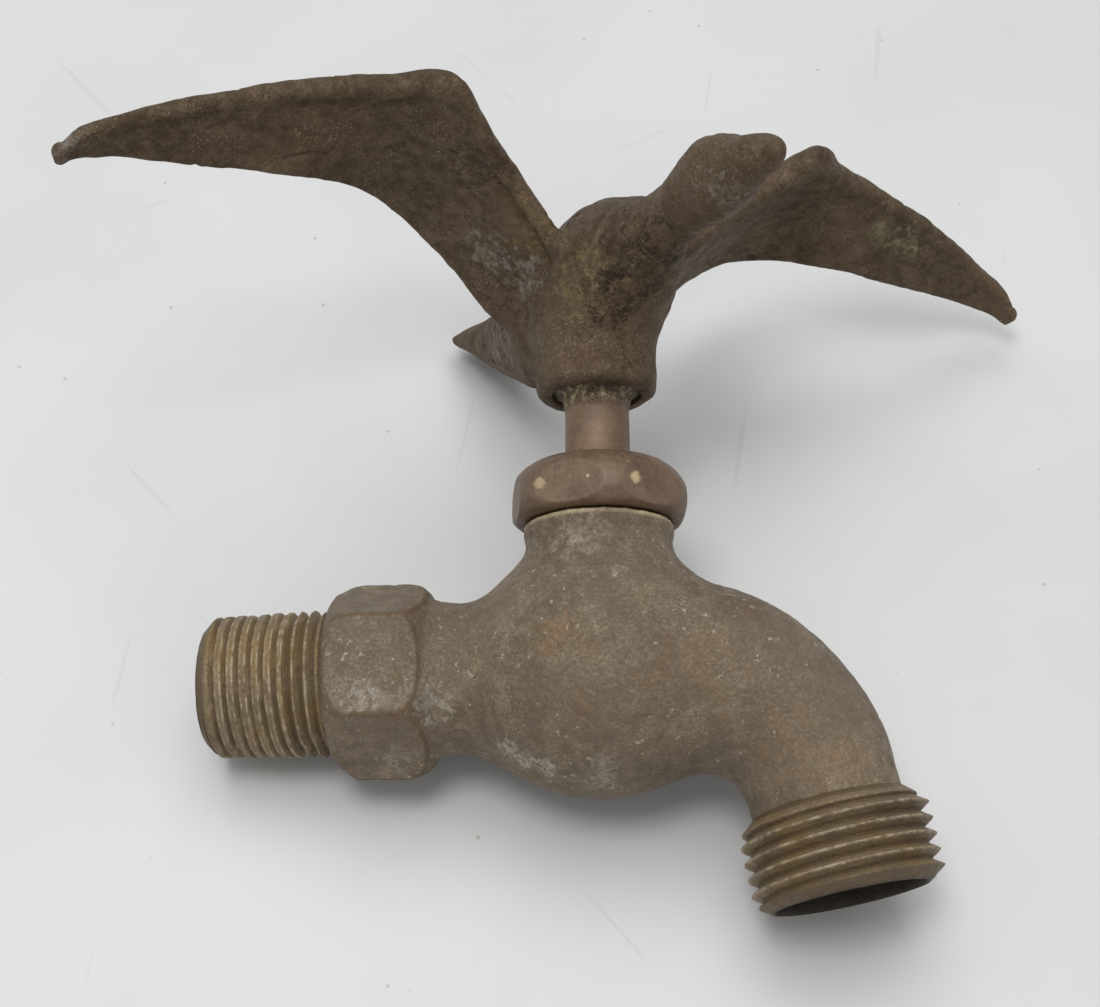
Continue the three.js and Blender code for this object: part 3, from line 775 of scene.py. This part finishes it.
def thread_brass():
    """Olive-brown in the roots, paler and yellower on the crests, the pale being partly wear and partly
    painted highlight, and near black in the bore as painted shade.
    """
    n, colour, mottle = cast_patina(
        "thread_brass", dark=(0.165, 0.118, 0.068), middle=(0.24, 0.175, 0.1), light=(0.29, 0.22, 0.13),
        speck=(0.38, 0.32, 0.22),
    )
    wear_dirt_and_painted_light = n.attribute("wear_dirt_and_painted_light")
    # Pale on the crests: partly wear, partly painted highlight.
    scuffed_and_highlit = n.times(n.stretch(wear_dirt_and_painted_light, 0.7, 0.98), n.noise(1.6, 6, 0.7, 0.42, 0.6))
    gold = n.times(n.noise(8, 5, 0.6, 0.45, 0.6), 0.6)
    colour = n.mix(gold, colour, (0.25, 0.165, 0.065))
    colour = n.mix(n.stretch(wear_dirt_and_painted_light, 0.0, 0.45, 0.75, 0.0), colour, (0.1, 0.064, 0.03))
    colour = n.mix(n.times(scuffed_and_highlit, 0.6), colour, (0.52, 0.44, 0.31))
    # Near black: painted shade in the bore, and darker towards the open end.
    colour = n.mix(n.stretch(wear_dirt_and_painted_light, -0.9, -0.3, 0.92, 0.0), colour, (0.03, 0.022, 0.014))
    return n.finish(colour, n.stretch(mottle, 0, 1, 0.6, 0.45), 0.4)


# Crusts and painted shade on the handle: centre and radius in millimetres, strength and colour. SHADE
# patches are painted shade.
GOLD = (0.3, 0.225, 0.11)
GREEN = (0.27, 0.265, 0.15)
PALE = (0.34, 0.315, 0.27)
SHADE = (0.045, 0.03, 0.02)
HANDLE_PATCHES = [
    ((57.9, -13.8, 54.2), 5.0, 0.6, GOLD), ((48.0, -12.5, 64.5), 4.0, 0.55, GOLD),
    ((47.2, -5.2, 60.1), 3.2, 0.6, PALE), ((41.9, -5.3, 64.2), 3.0, 0.55, PALE),
    ((40.9, 13.9, 56.3), 4.5, 0.5, PALE), ((105.5, 26.5, 75.4), 2.4, 0.8, GREEN),
    ((101.4, 23.2, 75.6), 2.0, 0.6, GREEN), ((77.9, -37.9, 56.9), 2.5, 0.5, PALE),
    ((42.7, -18.7, 72.7), 4.0, 0.6, SHADE), ((66.5, -18.0, 55.5), 6.0, 1.0, SHADE),
    ((61.0, -13.5, 52.0), 4.0, 0.9, SHADE), ((-12.0, -39.5, 70.3), 2.5, 0.6, PALE),
]


def handle_brass():
    """The darkest brass, with a greenish bloom, pale and golden crusts and near-black patches of painted
    shade.
    """
    n, colour, mottle = cast_patina(
        "handle_brass", dark=(0.07, 0.046, 0.026), middle=(0.12, 0.08, 0.048), light=(0.165, 0.118, 0.074),
        speck=(0.3, 0.24, 0.165),
    )
    green = n.times(n.noise(9, 6, 0.7, 0.6, 0.75), 0.45)
    colour = n.mix(green, colour, (0.13, 0.125, 0.07))
    # Ragged noise for the crusts and for the painted shade patches.
    blotches = n.noise(1.0, 7, 0.75, 0.38, 0.62)
    for centre, radius, strength, tone in HANDLE_PATCHES:
        amount = n.times(n.times(n.patch(centre, radius, 0.9), blotches), strength)
        colour = n.mix(amount, colour, tone)
        n.bump(amount, 0.3, 0.15)
    n.shader.inputs["Specular IOR Level"].default_value = 0.2
    return n.finish(colour, n.stretch(mottle, 0, 1, 0.66, 0.52), 0.3)


# Golden chips: centre and radius in millimetres, and strength.
NUT_CHIPS = [
    ((63.5, -10.7, 25.9), 0.95, 0.9), ((49.9, -10.5, 25.7), 0.9, 0.5), ((57.0, -12.6, 25.9), 0.25, 0.8),
    ((62.6, -11.2, 28.0), 0.25, 0.8),
]


def nut_brass():
    """Smoother, redder brass with scuffed golden spots."""
    n = Nodes("nut_brass")
    clouds = n.noise(5, 5, 0.6, 0.35, 0.66)
    grain = n.noise(0.7, 6, 0.7, 0.35, 0.7)
    colour = n.mix(clouds, (0.108, 0.064, 0.038), (0.162, 0.104, 0.064))
    colour = n.mix(n.times(grain, 0.35), colour, (0.235, 0.17, 0.11))
    for centre, radius, strength in NUT_CHIPS:
        colour = n.mix(n.times(n.patch(centre, radius, 0.2), strength), colour, (0.55, 0.43, 0.24))
    colour = n.mix(n.times(n.noise(1.8, 5, 0.6, 0.64, 0.74), 0.6), colour, (0.075, 0.045, 0.03))
    n.bump(grain, 0.3, 0.08)
    n.bump(clouds, 0.25, 0.3)
    return n.finish(colour, n.stretch(grain, 0, 1, 0.42, 0.58), 0.2)


def stem_brass():
    """Redder brass that turns to caked dirt as its level in the shared wear, dirt and painted light
    attribute rises to 1.
    """
    n = Nodes("stem_brass")
    clouds = n.noise(4, 5, 0.6, 0.35, 0.66)
    grain = n.noise(0.6, 6, 0.7, 0.35, 0.7)
    colour = n.mix(clouds, (0.118, 0.07, 0.041), (0.185, 0.116, 0.07))
    colour = n.mix(n.times(grain, 0.4), colour, (0.26, 0.185, 0.12))
    wear_dirt_and_painted_light = n.attribute("wear_dirt_and_painted_light")
    crumbs = n.noise(1.3, 6, 0.7, 0.4, 0.6)
    dirt = n.mix(crumbs, (0.07, 0.052, 0.03), (0.31, 0.25, 0.15))
    colour = n.mix(n.times(wear_dirt_and_painted_light, n.noise(1.6, 6, 0.7, 0.28, 0.5)), colour, dirt)
    n.bump(grain, 0.4, 0.1)
    n.bump(n.times(crumbs, wear_dirt_and_painted_light), 0.8, 0.5)
    return n.finish(colour, n.stretch(grain, 0, 1, 0.42, 0.62), 0.2)


def fitting_brass():
    n = Nodes("fitting_brass")
    clouds = n.noise(2.5, 6, 0.6, 0.35, 0.66)
    colour = n.mix(clouds, (0.13, 0.09, 0.055), (0.25, 0.185, 0.11))
    n.bump(n.noise(0.5, 5, 0.65), 0.35, 0.08)
    return n.finish(colour, n.stretch(clouds, 0, 1, 0.55, 0.38), 0.6)


def washer_rubber():
    n = Nodes("washer_rubber")
    bloom = n.noise(1.6, 6, 0.65, 0.4, 0.7)
    colour = n.mix(bloom, (0.018, 0.017, 0.016), (0.05, 0.047, 0.043))
    n.bump(n.noise(0.4, 4, 0.6), 0.3, 0.06)
    return n.finish(colour, n.stretch(bloom, 0, 1, 0.7, 0.9), 0.0)


def packing_graphite():
    n = Nodes("packing_graphite")
    fibres = n.noise(0.5, 8, 0.75, 0.3, 0.7)
    colour = n.mix(fibres, (0.025, 0.025, 0.026), (0.09, 0.088, 0.085))
    n.bump(fibres, 0.5, 0.12)
    return n.finish(colour, n.stretch(fibres, 0, 1, 0.5, 0.75), 0.2)


def table_top():
    """Pale painted table with faint scratches and specks, unseen from behind."""
    n = Nodes("table_top")
    clouds = n.noise(60, 4, 0.5, 0.3, 0.7)
    colour = n.mix(clouds, (0.585, 0.59, 0.585), (0.63, 0.63, 0.625))
    for angle, seed in ((0.5, 0.0), (-0.9, 3.0), (1.4, 7.0)):
        turned = n.add("ShaderNodeMapping", {"vector_type": "TEXTURE"}, Vector=n.place)
        turned.inputs["Rotation"].default_value = (0, 0, angle)
        turned.inputs["Location"].default_value = (seed, seed, 0)
        turned.inputs["Scale"].default_value = (20, 1, 1)
        streak = n.add("ShaderNodeTexNoise", Vector=turned.outputs[0], Scale=420, Detail=3, Roughness=0.5)
        line = n.stretch(streak.outputs["Fac"], 0.7, 0.74)
        colour = n.mix(n.times(line, 0.22), colour, (0.42, 0.41, 0.4))
    specks = n.stretch(n.pits(9, 0.02, 0.05), 0, 1, 0.5, 0.0)
    colour = n.mix(specks, colour, (0.3, 0.27, 0.23))
    made = n.finish(colour, 0.45, 0.0)
    clear = n.add("ShaderNodeBsdfTransparent")
    back = n.add("ShaderNodeNewGeometry").outputs["Backfacing"]
    one_sided = n.add("ShaderNodeMixShader")
    n.feed(one_sided.inputs[0], back)
    n.tree.links.new(n.shader.outputs[0], one_sided.inputs[1])
    n.tree.links.new(clear.outputs[0], one_sided.inputs[2])
    n.tree.links.new(one_sided.outputs[0], n.tree.nodes["Material Output"].inputs["Surface"])
    return made


# ---- Camera, table and light ---------------------------------------------------------------------------

# The camera stands at a place in metres, is turned by angles in degrees and has a lens in millimetres.
CAMERA = dict(place=(0.08618, -0.3084, -0.06599), azimuth=6.67, elevation=-16.46, roll=-0.734, lens=72.1)
TABLE_NORMAL = Vector((0.1338, -0.9327, 0.3348)).normalized()    # hexagon, hose thread and tail touch it


def camera():
    """The scene's camera, on the side of the object that the CAD frame calls its front."""
    made = bpy.data.objects.new("camera", bpy.data.cameras.new("camera"))
    turn = Matrix.Rotation(math.radians(CAMERA["azimuth"]), 4, "Z")
    tip = Matrix.Rotation(math.radians(90 - CAMERA["elevation"]), 4, "X")
    roll = Matrix.Rotation(math.radians(CAMERA["roll"]), 4, "Z")
    made.matrix_world = Matrix.Translation(CAMERA["place"]) @ turn @ tip @ roll
    made.data.lens = CAMERA["lens"]
    made.data.sensor_width = 36
    made.data.clip_start = 0.01
    bpy.context.scene.collection.objects.link(made)
    bpy.context.scene.camera = made
    return made


def table(pieces):
    """A sheet three metres square that the lowest point of the given pieces touches."""
    lowest = min(TABLE_NORMAL.dot(vertex.co) for piece in pieces for vertex in piece.data.vertices)
    half = 1.5
    corners = [(-half, -half, 0), (half, -half, 0), (half, half, 0), (-half, half, 0)]
    mesh = bpy.data.meshes.new("table")
    mesh.from_pydata(corners, [], [(0, 1, 2, 3)])
    mesh.materials.append(table_top())
    made = bpy.data.objects.new("table", mesh)
    made.location = TABLE_NORMAL * lowest
    made.rotation_euler = TABLE_NORMAL.to_track_quat("Z", "Y").to_euler()
    bpy.context.scene.collection.objects.link(made)


def lamp(name, direction, distance, size, watts):
    """A round lamp that faces the middle of the object from a direction; lengths are in metres."""
    data = bpy.data.lights.new(name, "AREA")
    data.shape = "DISK"
    data.size = size
    data.energy = watts
    made = bpy.data.objects.new(name, data)
    made.location = (cad_low + cad_high) / 2 + direction.normalized() * distance
    made.rotation_euler = direction.to_track_quat("Z", "Y").to_euler()
    bpy.context.scene.collection.objects.link(made)


def lights(facing):
    """A soft lamp over the camera, a broad window above it and pale light all round."""
    up, back = facing.col[1], facing.col[2]
    lamp("key", back * 0.9 + up * 0.4 - facing.col[0] * 0.15, 1.0, 0.35, 3.4)
    lamp("window", back * 0.6 + up * 0.8, 1.3, 1.2, 7.4)
    world = bpy.data.worlds.new("studio")
    world.use_nodes = True
    world.node_tree.nodes["Background"].inputs["Color"].default_value = (0.98, 0.99, 1.0, 1)
    world.node_tree.nodes["Background"].inputs["Strength"].default_value = 0.55
    bpy.context.scene.world = world
    bpy.context.scene.view_settings.view_transform = "Standard"


# ---- The scene -----------------------------------------------------------------------------------------

def repaint(node, material):
    """A CAD piece keeps its shape and takes this material."""
    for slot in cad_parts[node].material_slots:
        slot.material = material


eye = camera()
lights(eye.matrix_world.to_3x3().normalized())

thread = thread_brass()
fitting = fitting_brass()
casting = valve_casting(body_brass())
inlet_thread(thread)
hose_thread = outlet_thread(thread)
packing_nut(nut_brass())
stem_shaft(stem_brass())
bird = bird_handle(handle_brass())
table([casting, hose_thread, bird])
small_screw("set_screw", set_screw_field, (-10, -4, 43), (-2, 4, 52), fitting, "stem_and_handle",
            "handle_set_screw", -BIRD_TURN)
small_screw("washer_bolt", washer_screw_field, (-5, -5, -2), (5, 5, 13), fitting, "stem_and_handle",
            "washer_screw")
repaint("packing_gland", fitting)
repaint("packing_ring", packing_graphite())
repaint("seat_washer", washer_rubber())
